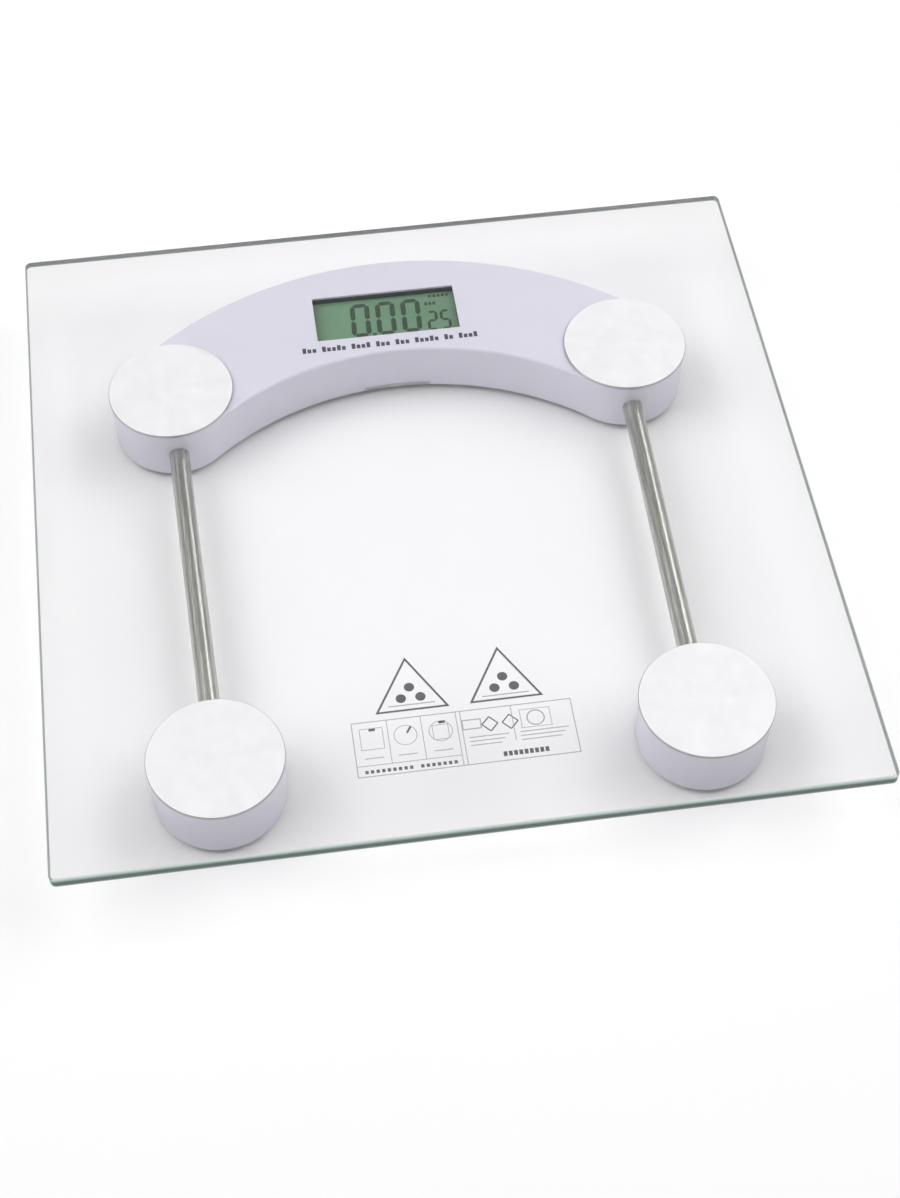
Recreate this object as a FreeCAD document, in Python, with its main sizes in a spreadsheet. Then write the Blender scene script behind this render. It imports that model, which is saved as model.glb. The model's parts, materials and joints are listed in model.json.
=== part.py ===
import FreeCAD, Part
import Sketcher
import math
import os
import re

# A digital bathroom scale: a square glass platform glued to four metal discs, each on a round pod
# that holds a load cell and its foot. The two rear pods are one shell with an arch between them,
# which holds the display, the board and the coin cell. Two steel tubes join the front pods to it.
# Millimetres. X runs to the right, Y towards the display, Z up. The origin is on the floor.

os.makedirs("parts", exist_ok=True)
doc = FreeCAD.newDocument("BathroomScale")
sheet = doc.addObject("Spreadsheet::Sheet", "Dims")

SIZES = {
    # glass platform
    "platform_width": 300, "platform_depth": 300, "glass_thick": 5,
    "glass_corner": 2.5, "glass_bevel": 0.5, "glue_thick": 0.2, "glue_margin": 0.2,
    # cap discs
    "disc_rad": 25.2, "disc_thick": 1.4, "disc_edge": 0.3, "disc_boss_rad": 4.6, "disc_boss_drop": 1.9,
    # pods: places and shells
    "front_pod_x": 89.7, "front_pod_y": -106.2, "rear_pod_x": 93.7, "rear_pod_y": 72,
    "pod_rad": 24.7, "wall_draft": 0.5, "wall_thick": 2.1, "roof_thick": 2, "top_edge": 0.6,
    "shell_low": 3, "shell_tall": 22.4,
    # arch between the rear pods
    "arch_rear_centre": -18.7, "arch_rear_rad": 152.4, "arch_front_apex": 82,
    # posts, screws and gaps
    "post_rad": 3, "gap": 0.15, "post_outset": 2.5, "screw_rad": 1, "screw_head_rad": 1.9,
    "screw_head_tall": 1.3, "head_sink": 0.2, "cross_long": 1.2, "cross_wide": 0.28, "pilot_gap": 0.05,
    "platform_screw_rad": 1.4, "platform_head_rad": 6, "platform_head_tall": 1.8,
    "short_screw": 6, "long_screw": 8,
    # load cells and carriers
    "cell_width": 34, "cell_thick": 2.2, "cell_corner": 6, "cell_seat": 6.2, "tongue_half": 5.5,
    "slot_width": 2.5, "cell_slot_half": 12, "coat_width": 8, "coat_depth": 10, "coat_tall": 1.6,
    "carrier_ledge": 4.8, "carrier_hole_rad": 8,
    # feet
    "foot_rad": 14.5, "foot_low": 1.2, "foot_flange_top": 3.8, "foot_boss_rad": 5.5, "foot_gap": 0.7,
    "foot_edge": 0.4, "foot_play": 0.05, "pad_rad": 12.9, "pad_thick": 2.2, "groove_deep": 0.5,
    "groove_wide": 1.4, "inner_groove_share": 0.45, "outer_groove_share": 0.78,
    # tubes
    "tube_rad": 4, "tube_wall": 1, "tube_high": 14.3, "tube_grip": 8.7, "tube_fit": 0.05,
    "socket_rad": 5.6, "socket_stop": 1.5, "bore_excess": 4,
    # display
    "window_width": 59.6, "window_depth": 24.4, "window_x": -1.9, "window_y": 103.7,
    "window_drop": 2.4,
    "lens_lap": 2, "lens_thick": 1, "lens_corner": 1, "lcd_air": 0.3, "lcd_lap": 1.2,
    "lcd_low_thick": 1.3, "lcd_top_thick": 1.4, "lcd_ledge": 1.3, "frame_wall": 1.8,
    "frame_gap": 0.1, "zebra_thick": 2,
    # board
    "frame_clear": 3.6, "board_margin": 4.5, "board_depth": 34, "board_thick": 1.6, "board_low": 12,
    "board_post_y": 14, "board_hole_rad": 1.4, "board_corner": 1.5,
    # parts on the board
    "chip_x": -26, "chip_width": 9, "chip_depth": 12, "chip_tall": 1.5, "chip_lift": 0.2,
    "lead_x": 5.2, "lead_long": 2.2, "lead_wide": 0.5, "lead_tall": 0.7, "lead_pitch": 1.2,
    "smd_long": 1.8, "smd_wide": 1, "smd_tall": 0.6, "smd_row_y": 12.5, "smd_row_x": -15,
    "smd_row_pitch": 3.2, "smd_column_x": 38, "smd_column_y": -7, "smd_column_pitch": 3,
    "can_rad": 2.2, "can_tall": 2.6, "rear_can_x": 20, "rear_can_y": 12, "side_can_y": -6,
    "side_x": -38, "crystal_y": 3, "crystal_wide": 3.4, "crystal_long": 8, "crystal_tall": 2.4,
    "leg_rad": 0.25, "leg_tall": 2.6, "leg_x": 0.7, "bead_rad": 1.3, "bead_drop": 3.4,
    # bottom cover
    "cover_thick": 2, "cover_post_x": 62, "cover_post_y": 112, "rear_post_x": 24, "rear_post_y": 125.5,
    # battery and its door
    "coin_rad": 10, "coin_thick": 3.2, "coin_y": 98.6, "coin_gap": 0.3, "coin_step": 1.2,
    "coin_step_tall": 0.4, "coin_bevel": 0.3, "coin_play": 0.1, "cup_wall": 1.6,
    "cup_ceiling": 9, "cup_roof": 1, "door_width": 25.6, "door_rear": 111.2, "door_thick": 1.6,
    "door_tongue": 1, "door_tongue_thick": 0.7, "door_slot_gap": 0.2, "door_frame_wall": 2.4,
    "door_frame_thick": 3.4, "door_exit": 8, "ridge_start": 4, "ridge_pitch": 2, "ridge_wide": 0.9,
    "ridge_drop": 0.4, "contact_thick": 0.25, "contact_width": 4, "contact_slot": 1, "leaf_reach": 3,
    "leaf_rest": 0.05, "leaf_rise": 0.6, "tail_share": 0.7,
    # unit button and its switch
    "button_x": 31, "button_y": 101, "button_rad": 4, "button_gap": 0.3, "flange_rad": 5.6,
    "flange_thick": 1.1, "stem_rad": 2.5, "button_top": 8, "plunger_rad": 1.7, "plunger_top": 10.2,
    "switch_width": 6.2, "switch_tall": 3.1, "plunger_gap": 0.1, "button_travel": 0.8,
    "button_sink": 0.2, "button_round": 0.4,
    # wires: where their route bends, from a pod's centre and from the end of the board
    "wire_rad": 1.1, "wire_end_x": 3, "front_bend_y": 8, "front_wire_x": 16, "front_wire_y": 14,
    "front_climb_x": 14, "front_climb_y": -6, "front_end_y": -5, "rear_wire_lift": 3,
    "rear_wire_x": 12, "rear_wire_y": 21, "rear_climb_x": 16, "rear_climb_lift": 1, "rear_end_y": 3,
}

# Places that follow from the sizes.
FORMULAS = {
    "shell_top": "(shell_low + shell_tall)",
    "roof_low": "(shell_top - roof_thick)",
    "disc_low": "(shell_top)",
    "glue_low": "(disc_low + disc_thick)",
    "glue_rad": "(disc_rad - disc_edge - glue_margin)",
    "glass_low": "(glue_low + glue_thick)",
    "cavity_rad": "(pod_rad - wall_draft - wall_thick)",
    "wall_inset": "(wall_draft + wall_thick)",
    "carrier_rad": "(cavity_rad - gap)",
    "carrier_post_x": "(cell_width/2 + post_outset)",
    "cell_top": "(cell_seat + cell_thick)",
    "coat_top": "(cell_top + coat_tall)",
    "foot_boss_top": "(cell_seat - foot_play)",
    "pod_run": "(rear_pod_y - front_pod_y)",
    "tube_lean": "atan((rear_pod_x - front_pod_x) / pod_run)",
    "pod_span": "(sqrt((rear_pod_x - front_pod_x)^2 + pod_run^2))",
    "tube_start": "(pod_rad - tube_grip)",
    "tube_length": "(pod_span - 2 * tube_start)",
    "lens_low": "(shell_top - window_drop - lens_thick)",
    "lcd_width": "(window_width + 2 * lcd_lap)",
    "lcd_depth": "(window_depth + 2 * lcd_lap)",
    "lcd_low": "(lens_low - lcd_air - lcd_top_thick - lcd_low_thick)",
    "frame_width": "(lcd_width + 2 * frame_gap + 2 * frame_wall)",
    "frame_depth": "(lcd_depth + 2 * frame_gap + 2 * frame_wall)",
    "board_post_x": "(frame_width/2 + frame_clear + post_rad)",
    "board_width": "(2*board_post_x + 2*board_margin)",
    "board_top": "(board_low + board_thick)",
    "cover_top": "(shell_low + cover_thick)",
    "cup_rad": "(coin_rad + coin_gap)",
    "coin_low": "(shell_low + door_thick + coin_play)",
    "leaf_tail": "(coin_rad*tail_share)",
    "slot_top": "(shell_low + door_thick + door_slot_gap)",
    "cup_top": "(cup_ceiling + cup_roof)",
    "front_band_centre": "(((arch_front_apex + pod_rad)^2 - rear_pod_x^2 - rear_pod_y^2)"
                         " / (2 * (arch_front_apex + pod_rad - rear_pod_y)))",
    "front_band_rad": "(arch_front_apex - front_band_centre)",
    "switch_low": "(board_low - switch_tall)",
    "flange_low": "(cover_top + gap)",
}

WORD = re.compile(r"[a-z]+(?:_[a-z]+)*")


def formula(text):
    """Write a size formula in the sheet's own names."""
    def spell(match):
        word = match.group(0)
        if word in FORMULAS:
            return formula(FORMULAS[word])
        return "Dims." + word if word in SIZES else word
    return WORD.sub(spell, str(text))


def bind(thing, **sizes):
    """Tie properties of an object to formulas of the sheet's sizes."""
    for name, text in sizes.items():
        thing.setExpression(name, formula(text))


def value(text):
    """The present value of a size formula."""
    found = sheet.evalExpression(formula(text))
    return float(getattr(found, "Value", found))


def place(thing, x, y, z, turn="0", roll="0"):
    """Tie an object's place, its turn about Z and its roll about X to formulas."""
    spot = "vector({};{};{})".format(formula(x), formula(y), formula(z))
    spin = "rotation({};0;{})".format(formula(turn), formula(roll))
    thing.setExpression("Placement", "placement({};{})".format(spot, spin))


def new_body(label, at=("0", "0", "0"), turn="0"):
    """One sub-part, as a body in its own place."""
    body = doc.addObject("PartDesign::Body", label)
    body.Label = label
    place(body, *at, turn=turn)
    NODES.append(body)
    return body


def sketch(body, lift="0", plane="XY_Plane"):
    """A sketch on one of the body's origin planes, lifted off it."""
    drawing = body.newObject("Sketcher::SketchObject", "Sketch")
    origin_plane = [item for item in body.Origin.OriginFeatures if item.Role == plane][0]
    drawing.AttachmentSupport = [(origin_plane, "")]
    drawing.MapMode = "FlatFace"
    drawing.setExpression("AttachmentOffset.Base.z", formula(lift))
    return drawing


def fix(drawing, kind, text, *where):
    """Add one dimension to a sketch and tie it to a formula."""
    index = drawing.addConstraint(Sketcher.Constraint(kind, *where, value(text)))
    drawing.setExpression("Constraints[{}]".format(index), formula(text))


def circles(drawing, centres, radius):
    """Circles of one radius at several centres."""
    for x, y in centres:
        centre = FreeCAD.Vector(value(x), value(y), 0)
        ring = drawing.addGeometry(Part.Circle(centre, FreeCAD.Vector(0, 0, 1), value(radius)))
        fix(drawing, "Radius", radius, ring)
        fix(drawing, "DistanceX", x, -1, 1, ring, 3)
        fix(drawing, "DistanceY", y, -1, 1, ring, 3)


def polygon(drawing, corners):
    """A closed outline of straight lines."""
    spots = [FreeCAD.Vector(value(x), value(y), 0) for x, y in corners]
    lines = []
    for index, spot in enumerate(spots):
        following = spots[(index + 1) % len(spots)]
        lines.append(drawing.addGeometry(Part.LineSegment(spot, following)))
    for index, (x, y) in enumerate(corners):
        drawing.addConstraint(Sketcher.Constraint("Coincident", lines[index - 1], 2, lines[index], 1))
        fix(drawing, "DistanceX", x, -1, 1, lines[index], 1)
        fix(drawing, "DistanceY", y, -1, 1, lines[index], 1)


def rectangles(drawing, centres, width, depth):
    """Rectangles of one size at several centres."""
    for x, y in centres:
        left, right = "{} - ({})/2".format(x, width), "{} + ({})/2".format(x, width)
        front, back = "{} - ({})/2".format(y, depth), "{} + ({})/2".format(y, depth)
        polygon(drawing, [(left, front), (right, front), (right, back), (left, back)])


def pad(body, drawing, length, down=False):
    """Add a sketch's outline as material, upwards unless down is set."""
    feature = body.newObject("PartDesign::Pad", "Pad")
    feature.Profile = drawing
    feature.Reversed = down
    bind(feature, Length=length)
    doc.recompute()
    return feature


def pocket(body, drawing, length, down=False):
    """Cut a sketch's outline away, upwards unless down is set."""
    feature = body.newObject("PartDesign::Pocket", "Pocket")
    feature.Profile = drawing
    feature.Reversed = not down
    bind(feature, Length=length)
    doc.recompute()
    return feature


def cylinder(body, radius, height, at, cut=False, turn="0", roll="0"):
    """A round feature whose axis is Z, or leans by turn and roll."""
    kind = "Subtractive" if cut else "Additive"
    feature = body.newObject("PartDesign::{}Cylinder".format(kind), "Round")
    bind(feature, Radius=radius, Height=height)
    place(feature, *at, turn=turn, roll=roll)
    return feature


def cone(body, low_radius, high_radius, height, at):
    """A tapered round feature on the Z axis."""
    feature = body.newObject("PartDesign::AdditiveCone", "Taper")
    bind(feature, Radius1=low_radius, Radius2=high_radius, Height=height)
    place(feature, *at)
    return feature


def box(body, size, centre, low, cut=False):
    """A block centred on a point of the plan, standing on height low."""
    kind = "Subtractive" if cut else "Additive"
    feature = body.newObject("PartDesign::{}Box".format(kind), "Block")
    width, depth, height = size
    bind(feature, Length=width, Width=depth, Height=height)
    place(feature, "({}) - ({})/2".format(centre[0], width), "({}) - ({})/2".format(centre[1], depth), low)
    return feature


def edges_where(shape, test):
    """Names of a shape's edges that pass a test on their box."""
    return ["Edge{}".format(number + 1) for number, edge in enumerate(shape.Edges) if test(edge)]


def dress(body, kind, size, test):
    """A fillet or chamfer on the edges of the body's last feature that pass a test."""
    doc.recompute()
    base = body.Tip
    feature = body.newObject("PartDesign::{}".format(kind), kind)
    feature.Base = (base, edges_where(base.Shape, test))
    bind(feature, **{"Radius" if kind == "Fillet" else "Size": size})
    doc.recompute()
    return feature


def upright(edge):
    """True for a straight vertical edge."""
    box_of = edge.BoundBox
    return box_of.XLength < 1e-6 and box_of.YLength < 1e-6


def mirror(body, features):
    """Repeat features on the other side of the YZ plane."""
    feature = body.newObject("PartDesign::Mirrored", "Mirrored")
    feature.Originals = features
    side_plane = [item for item in body.Origin.OriginFeatures if item.Role == "YZ_Plane"][0]
    feature.MirrorPlane = (side_plane, [""])
    body.Tip = feature
    doc.recompute()
    return feature


NODES = []
RIDGES = 4
LEADS_A_SIDE = 9
PODS = {
    "front_left": ("-front_pod_x", "front_pod_y", "tube_lean"),
    "front_right": ("front_pod_x", "front_pod_y", "-tube_lean"),
    "rear_left": ("-rear_pod_x", "rear_pod_y", "0"),
    "rear_right": ("rear_pod_x", "rear_pod_y", "0"),
}
POD_CENTRES = [(x, y) for x, y, turn in PODS.values()]


def fill_sheet():
    """Write the sizes into the sheet, each with its own name."""
    for row, (name, size) in enumerate(SIZES.items(), start=1):
        sheet.set("A{}".format(row), name)
        sheet.set("B{}".format(row), str(size))
        sheet.setAlias("B{}".format(row), name)
    doc.recompute()


def glass_platform():
    body = new_body("glass_platform", ("0", "0", "glass_low"))
    drawing = sketch(body)
    rectangles(drawing, [("0", "0")], "platform_width", "platform_depth")
    pad(body, drawing, "glass_thick")
    dress(body, "Fillet", "glass_corner", upright)
    dress(body, "Chamfer", "glass_bevel", lambda edge: edge.BoundBox.ZLength < 1e-6)


def adhesive_discs():
    """Clear glue between each cap disc and the glass."""
    body = new_body("adhesive_discs", ("0", "0", "glue_low"))
    drawing = sketch(body)
    circles(drawing, POD_CENTRES, "glue_rad")
    pad(body, drawing, "glue_thick")


def cap_disc(name, x, y, turn):
    """The metal disc that shows through the glass, with a threaded boss below."""
    body = new_body("cap_disc_" + name, (x, y, "disc_low"), turn)
    drawing = sketch(body)
    circles(drawing, [("0", "0")], "disc_rad")
    pad(body, drawing, "disc_thick")
    dress(body, "Chamfer", "disc_edge", lambda edge: edge.BoundBox.ZLength < 1e-6)
    cylinder(body, "disc_boss_rad", "disc_boss_drop", ("0", "0", "-disc_boss_drop"))
    cylinder(body, "platform_screw_rad + pilot_gap", "disc_boss_drop + disc_thick/2",
             ("0", "0", "-disc_boss_drop"), cut=True)


def platform_screws():
    """One broad-headed screw up through each pod's roof into its cap disc."""
    body = new_body("platform_screws", ("0", "0", "roof_low"))
    heads = sketch(body)
    circles(heads, POD_CENTRES, "platform_head_rad")
    pad(body, heads, "platform_head_tall", down=True)
    shanks = sketch(body)
    circles(shanks, POD_CENTRES, "platform_screw_rad")
    pad(body, shanks, "roof_thick + disc_thick/2 - gap")
    cross_slots(body, POD_CENTRES, "-platform_head_tall", "platform_head_rad", "platform_head_tall/2")


def cross_slots(body, centres, low, head_radius, depth):
    """Cut a cross into screw heads that face down."""
    long, wide = head_radius + "*cross_long", head_radius + "*cross_wide"
    for width, length in ((wide, long), (long, wide)):
        drawing = sketch(body, low)
        rectangles(drawing, centres, width, length)
        pocket(body, drawing, depth)


def small_screws(label, centres, seat, thread_length):
    """Pan-head screws that point up, with their heads below the height seat."""
    body = new_body(label, ("0", "0", seat))
    heads = sketch(body)
    circles(heads, centres, "screw_head_rad")
    pad(body, heads, "screw_head_tall", down=True)
    shanks = sketch(body)
    circles(shanks, centres, "screw_rad")
    pad(body, shanks, thread_length)
    cross_slots(body, centres, "-screw_head_tall", "screw_head_rad", "screw_head_tall/2")


def pod_inside(body, x, y, turn):
    """Carrier posts, roof hole and tube socket of one pod, in place in its shell."""
    for side in ("", "-"):
        post = ("{} {} carrier_post_x*cos({})".format(x, side or "+", turn),
                "{} {} carrier_post_x*sin({})".format(y, side or "+", turn))
        cylinder(body, "post_rad", "roof_low - cell_top", (*post, "cell_top"))
        cylinder(body, "screw_rad + pilot_gap", "short_screw", (*post, "cell_top"), cut=True)
    cylinder(body, "disc_boss_rad + gap", "shell_tall", (x, y, "shell_low"), cut=True)


def tube_socket(body, x, y, lean, way):
    """A sleeve inside a pod's wall that grips a tube. way is 1 to the rear and -1 to the front."""
    def along(distance):
        reach = "({})*{}".format(distance, way)
        return ("{} - ({})*sin({})".format(x, reach, lean), "{} + ({})*cos({})".format(y, reach, lean),
                "tube_high")
    roll = "-90" if way > 0 else "90"
    inner = "(tube_start - socket_stop)"
    bore = "tube_grip + bore_excess"
    sleeve = "cavity_rad + wall_thick/2 - " + inner
    cylinder(body, "socket_rad", sleeve, along(inner), turn=lean, roll=roll)
    cylinder(body, "tube_rad - tube_wall", bore, along(inner), cut=True, turn=lean, roll=roll)
    cylinder(body, "tube_rad + tube_fit", bore, along("tube_start"), cut=True, turn=lean, roll=roll)


def front_pod_shell(name):
    """A front pod's round shell, open below."""
    x, y, turn = PODS[name]
    body = new_body("front_pod_shell_" + name.split("_")[1], (x, y, "0"), turn)
    cone(body, "pod_rad - wall_draft", "pod_rad", "shell_tall - top_edge", ("0", "0", "shell_low"))
    cone(body, "pod_rad", "pod_rad - top_edge", "top_edge", ("0", "0", "shell_top - top_edge"))
    cylinder(body, "cavity_rad", "shell_tall - roof_thick", ("0", "0", "shell_low"), cut=True)
    pod_inside(body, "0", "0", "0")
    tube_socket(body, "0", "0", "0", 1)


def half_arch(body, inset, lift):
    """The right half of the arch's outline in plan, drawn inwards by inset.

    It is the rear arc, the pod's arc and the front arc, which is tangent to the pod, closed on the
    middle line.
    """
    drawing = sketch(body, lift)
    rear_r, pod_r = value("arch_rear_rad - ({})".format(inset)), value("pod_rad - ({})".format(inset))
    apex = value("arch_front_apex + ({})".format(inset))
    rear_c, front_c = value("arch_rear_centre"), value("front_band_centre")
    pod_x, pod_y = value("rear_pod_x"), value("rear_pod_y")
    reach = math.hypot(pod_x, pod_y - rear_c)
    towards = math.atan2(pod_y - rear_c, pod_x)
    spread = math.acos((rear_r**2 + reach**2 - pod_r**2) / (2 * rear_r * reach))
    kink_turn = towards + spread
    kink_x, kink_y = rear_r * math.cos(kink_turn), rear_c + rear_r * math.sin(kink_turn)
    kink_on_pod = math.atan2(kink_y - pod_y, kink_x - pod_x)
    touch_turn = math.atan2(pod_y - front_c, pod_x)
    up = FreeCAD.Vector(0, 0, 1)
    rear = Part.Circle(FreeCAD.Vector(0, rear_c, 0), up, rear_r)
    pod = Part.Circle(FreeCAD.Vector(pod_x, pod_y, 0), up, pod_r)
    front = Part.Circle(FreeCAD.Vector(0, front_c, 0), up, apex - front_c)
    arcs = [Part.ArcOfCircle(rear, kink_turn, math.pi / 2),
            Part.ArcOfCircle(pod, touch_turn + math.pi, kink_on_pod + 2 * math.pi),
            Part.ArcOfCircle(front, touch_turn, math.pi / 2)]
    rear_arc, pod_arc, front_arc = [drawing.addGeometry(arc) for arc in arcs]
    closing = drawing.addGeometry(Part.LineSegment(FreeCAD.Vector(0, apex, 0),
                                                   FreeCAD.Vector(0, rear_c + rear_r, 0)))
    drawing.addConstraint(Sketcher.Constraint("Coincident", rear_arc, 1, pod_arc, 2))
    drawing.addConstraint(Sketcher.Constraint("Tangent", pod_arc, 1, front_arc, 1))
    drawing.addConstraint(Sketcher.Constraint("Coincident", front_arc, 2, closing, 1))
    drawing.addConstraint(Sketcher.Constraint("Coincident", rear_arc, 2, closing, 2))
    fix(drawing, "DistanceX", "0", -1, 1, rear_arc, 3)
    fix(drawing, "DistanceY", "arch_rear_centre", -1, 1, rear_arc, 3)
    fix(drawing, "Radius", "arch_rear_rad - ({})".format(inset), rear_arc)
    fix(drawing, "DistanceX", "rear_pod_x", -1, 1, pod_arc, 3)
    fix(drawing, "DistanceY", "rear_pod_y", -1, 1, pod_arc, 3)
    fix(drawing, "Radius", "pod_rad - ({})".format(inset), pod_arc)
    fix(drawing, "DistanceX", "0", -1, 1, front_arc, 3)
    fix(drawing, "DistanceX", "0", -1, 1, front_arc, 2)
    fix(drawing, "DistanceY", "arch_front_apex + ({})".format(inset), -1, 1, front_arc, 2)
    fix(drawing, "DistanceX", "0", -1, 1, closing, 2)
    return drawing


def loft(body, low, high):
    feature = body.newObject("PartDesign::AdditiveLoft", "Loft")
    feature.Profile = low
    feature.Sections = [high]
    feature.Ruled = True
    doc.recompute()
    return feature


def arch_housing():
    """The display end's shell: both rear pods and the arch between them in one moulding."""
    body = new_body("arch_housing")
    shoulder = "shell_top - top_edge"
    walls = loft(body, half_arch(body, "wall_draft", "shell_low"), half_arch(body, "0", shoulder))
    edge = loft(body, half_arch(body, "0", shoulder), half_arch(body, "top_edge", "shell_top"))
    hollow = pocket(body, half_arch(body, "wall_inset", "shell_low"), "shell_tall - roof_thick")
    mirror(body, [walls, edge, hollow])
    box(body, ("window_width + 2*lens_lap", "window_depth + 2*lens_lap", "window_drop - roof_thick"),
        ("window_x", "window_y"), "shell_top - window_drop")
    box(body, ("window_width", "window_depth", "window_drop + lens_thick"), ("window_x", "window_y"),
        "lens_low", cut=True)
    posts = sketch(body, "roof_low")
    circles(posts, BOARD_POSTS, "post_rad")
    pad(body, posts, "roof_low - board_top", down=True)
    posts = sketch(body, "roof_low")
    circles(posts, COVER_POSTS, "post_rad")
    pad(body, posts, "roof_low - cover_top", down=True)
    holes = sketch(body, "cover_top")
    circles(holes, COVER_POSTS, "screw_rad + pilot_gap")
    pocket(body, holes, "long_screw")
    holes = sketch(body, "board_top")
    circles(holes, BOARD_POSTS, "screw_rad + pilot_gap")
    pocket(body, holes, "short_screw")
    for name in ("rear_left", "rear_right"):
        x, y, turn = PODS[name]
        pod_inside(body, x, y, turn)
        tube_socket(body, x, y, PODS[name.replace("rear", "front")][2], -1)
    door_slots(body, "arch_front_apex - door_exit/2", "arch_front_apex + door_exit/2")


def door_slots(body, front, rear):
    """Cut the room for the battery door and its side tongues, between two places along Y."""
    depth, middle = "({} - ({}))".format(rear, front), ("0", "({} + {})/2".format(rear, front))
    plate = ("door_width + 2*door_slot_gap", depth, "door_thick + door_slot_gap")
    tongue_room = "(door_tongue_thick + 2*door_slot_gap)"
    tongues = ("door_width + 2*door_tongue + 2*door_slot_gap", depth, tongue_room)
    box(body, plate, middle, "shell_low", cut=True)
    box(body, tongues, middle, "slot_top - " + tongue_room, cut=True)


BOARD_POSTS = [(x, "window_y" + y) for x in ("-board_post_x", "board_post_x")
               for y in (" - board_post_y", " + board_post_y")]
COVER_POSTS = [("-cover_post_x", "cover_post_y"), ("cover_post_x", "cover_post_y"),
               ("-rear_post_x", "rear_post_y"), ("rear_post_x", "rear_post_y")]
CARRIER_POSTS = [("{} {} carrier_post_x*cos({})".format(x, side, turn),
                  "{} {} carrier_post_x*sin({})".format(y, side, turn))
                 for x, y, turn in PODS.values() for side in ("+", "-")]


def arch_bottom_cover():
    """The plate that closes the arch below, with the coin cell's cup and the door's rails."""
    body = new_body("arch_bottom_cover")
    plate = pad(body, half_arch(body, "wall_inset + gap", "shell_low"), "cover_thick")
    rims = sketch(body, "shell_low")
    circles(rims, [("rear_pod_x", "rear_pod_y")], "cavity_rad + gap")
    rim_cut = pocket(body, rims, "cover_thick")
    mirror(body, [plate, rim_cut])
    frame_depth = "(door_rear + door_frame_wall - arch_front_apex - wall_inset - 2*gap)"
    box(body, ("door_width + 2*door_tongue + 2*door_frame_wall", frame_depth, "door_frame_thick"),
        ("0", "arch_front_apex + wall_inset + 2*gap + {}/2".format(frame_depth)), "shell_low")
    cylinder(body, "cup_rad + cup_wall", "cup_top - shell_low", ("0", "coin_y", "shell_low"))
    cylinder(body, "cup_rad", "cup_ceiling - shell_low", ("0", "coin_y", "shell_low"), cut=True)
    door_slots(body, "arch_front_apex", "door_rear + door_slot_gap")
    # slots for the two contacts
    contact_room = "contact_width + 2*gap"
    box(body, (contact_room, "contact_slot", "2*cup_roof"), ("0", "coin_y + leaf_tail"),
        "cup_ceiling - cup_roof/2", cut=True)
    box(body, ("contact_slot", contact_room, "cup_top"), ("cup_rad", "coin_y"), "slot_top", cut=True)
    cylinder(body, "button_rad + button_gap", "cover_thick", ("button_x", "button_y", "shell_low"), cut=True)
    heads = sketch(body, "shell_low")
    circles(heads, COVER_POSTS, "screw_head_rad + gap")
    pocket(body, heads, "screw_head_tall")
    holes = sketch(body, "shell_low")
    circles(holes, COVER_POSTS, "screw_rad + gap")
    pocket(body, holes, "cover_thick")


def battery_door():
    """A flat lid on two side tongues that slides out through the arch's front wall."""
    body = new_body("battery_door")
    depth = "(door_rear - arch_front_apex)"
    middle = "arch_front_apex + {}/2".format(depth)
    box(body, ("door_width", depth, "door_thick"), ("0", middle), "shell_low")
    box(body, ("door_width + 2*door_tongue", depth, "door_tongue_thick"), ("0", middle),
        "shell_low + door_thick - door_tongue_thick")
    cylinder(body, "front_band_rad + wall_draft", "cover_top", ("0", "front_band_centre", "0"), cut=True)
    ridges = sketch(body, "shell_low")
    centres = [("0", "arch_front_apex + ridge_start + ridge_pitch*{}".format(step)) for step in range(RIDGES)]
    rectangles(ridges, centres, "door_width/2", "ridge_wide")
    pad(body, ridges, "ridge_drop", down=True)


def coin_cell():
    body = new_body("coin_cell", ("0", "coin_y", "coin_low"))
    cylinder(body, "coin_rad", "coin_thick - coin_step_tall", ("0", "0", "0"))
    cylinder(body, "coin_rad - coin_step", "coin_step_tall", ("0", "0", "coin_thick - coin_step_tall"))
    dress(body, "Chamfer", "coin_bevel",
          lambda edge: edge.BoundBox.ZMax < 1e-6 and edge.BoundBox.ZLength < 1e-6)


def battery_contact_negative():
    """A leaf spring over the coin cell, with its tail up through the cup's roof to the board."""
    body = new_body("battery_contact_negative", ("-contact_width/2", "coin_y", "0"))
    drawing = sketch(body, plane="YZ_Plane")
    tip, tail, outer_tail = "-leaf_reach", "leaf_tail", "leaf_tail + contact_thick"
    low, high = "coin_low + coin_thick + leaf_rest", "coin_low + coin_thick + leaf_rise"
    polygon(drawing, [(tip, low), (outer_tail, high), (outer_tail, "board_low"), (tail, "board_low"),
                      (tail, high + " + contact_thick"), (tip, low + " + contact_thick")])
    pad(body, drawing, "contact_width")


def battery_contact_positive():
    """An upright strip beside the coin cell's rim, up to the board."""
    body = new_body("battery_contact_positive", ("coin_rad + gap/2", "coin_y", "coin_low + gap"))
    drawing = sketch(body)
    rectangles(drawing, [("contact_thick/2", "0")], "contact_thick", "contact_width")
    pad(body, drawing, "board_low - coin_low - gap")


def display_window():
    body = new_body("display_window", ("window_x", "window_y", "lens_low"))
    drawing = sketch(body)
    rectangles(drawing, [("0", "0")], "window_width + 2*lens_lap", "window_depth + 2*lens_lap")
    pad(body, drawing, "lens_thick")
    dress(body, "Fillet", "lens_corner", upright)


def lcd_panel():
    """Two bonded glass sheets, the lower one wider, so that its edges can carry the contacts."""
    body = new_body("lcd_panel", ("window_x", "window_y", "lcd_low"))
    lower = sketch(body)
    rectangles(lower, [("0", "0")], "lcd_width", "lcd_depth")
    pad(body, lower, "lcd_low_thick")
    upper = sketch(body, "lcd_low_thick")
    rectangles(upper, [("0", "0")], "lcd_width", "lcd_depth - 2*lcd_ledge")
    pad(body, upper, "lcd_top_thick")


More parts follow.
